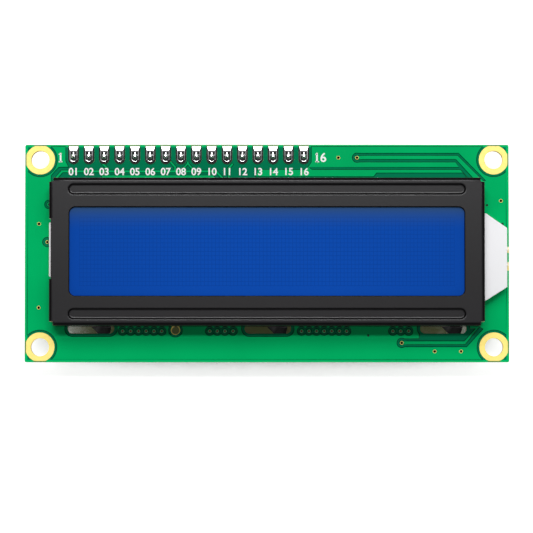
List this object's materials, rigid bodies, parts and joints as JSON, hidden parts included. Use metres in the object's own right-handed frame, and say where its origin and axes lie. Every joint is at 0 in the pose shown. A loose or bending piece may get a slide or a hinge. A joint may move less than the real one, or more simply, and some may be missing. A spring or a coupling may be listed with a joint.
{
  "type": "character lcd module",
  "caption": "Flat display module: a blue dot-matrix liquid crystal cell in a black folded bezel on a green circuit board, with a pin header along one edge.",
  "frame": {"origin": "centre of the four mounting holes, on the rear face of the bare board", "axes": "+X along the board's length, +Y towards the pin header, +Z out of the display face"},
  "size_m": [0.08, 0.036, 0.0173],
  "materials": {
    "laminate": "green solder mask on bare laminate",
    "masked_copper": "green solder mask on copper",
    "gold_plating": "smooth gold plating",
    "solder": "bright solder",
    "pin_metal": "plated",
    "black_plastic": "matt",
    "black_steel": "satin black",
    "blue_film": "smooth blue film",
    "glass_plate": "polished",
    "seal_resin": "matt",
    "liquid_crystal": "translucent",
    "grey_film": "smooth",
    "white_film": "matt",
    "clear_acrylic": "clear",
    "white_plastic": "matt white",
    "led_resin": "moulded",
    "tinned_metal": "tinned",
    "elastomer": "layered",
    "potting_resin": "smooth black",
    "resistor_body": "coated",
    "capacitor_body": "sintered"
  },
  "bodies": {
    "root": {"circuit_board": "laminate", "top_copper_layer": "masked_copper", "back_copper_layer": "masked_copper", "mounting_hole_plating": "gold_plating", "via_rings": "gold_plating", "locating_hole_lining": "gold_plating", "header_pads": "gold_plating", "header_solder_joints": "solder", "header_pins": "pin_metal", "header_insulator": "black_plastic", "metal_bezel": "black_steel", "front_polarizer": "blue_film", "front_glass": "glass_plate", "cell_seal": "seal_resin", "liquid_crystal_layer": "liquid_crystal", "rear_glass": "glass_plate", "rear_polarizer": "grey_film", "diffuser_film": "white_film", "light_guide": "clear_acrylic", "backlight_housing": "white_plastic", "backlight_led": "led_resin", "backlight_leads": "tinned_metal", "backlight_pads": "gold_plating", "backlight_solder_joints": "solder", "zebra_strip_upper": "elastomer", "zebra_strip_lower": "elastomer", "elastomer_contact_pads": "gold_plating", "controller_chip_cover": "potting_resin", "driver_chip_cover": "potting_resin", "chip_resistors": "resistor_body", "chip_capacitors": "capacitor_body", "chip_part_terminals": "tinned_metal"}
  },
  "joints": []
}
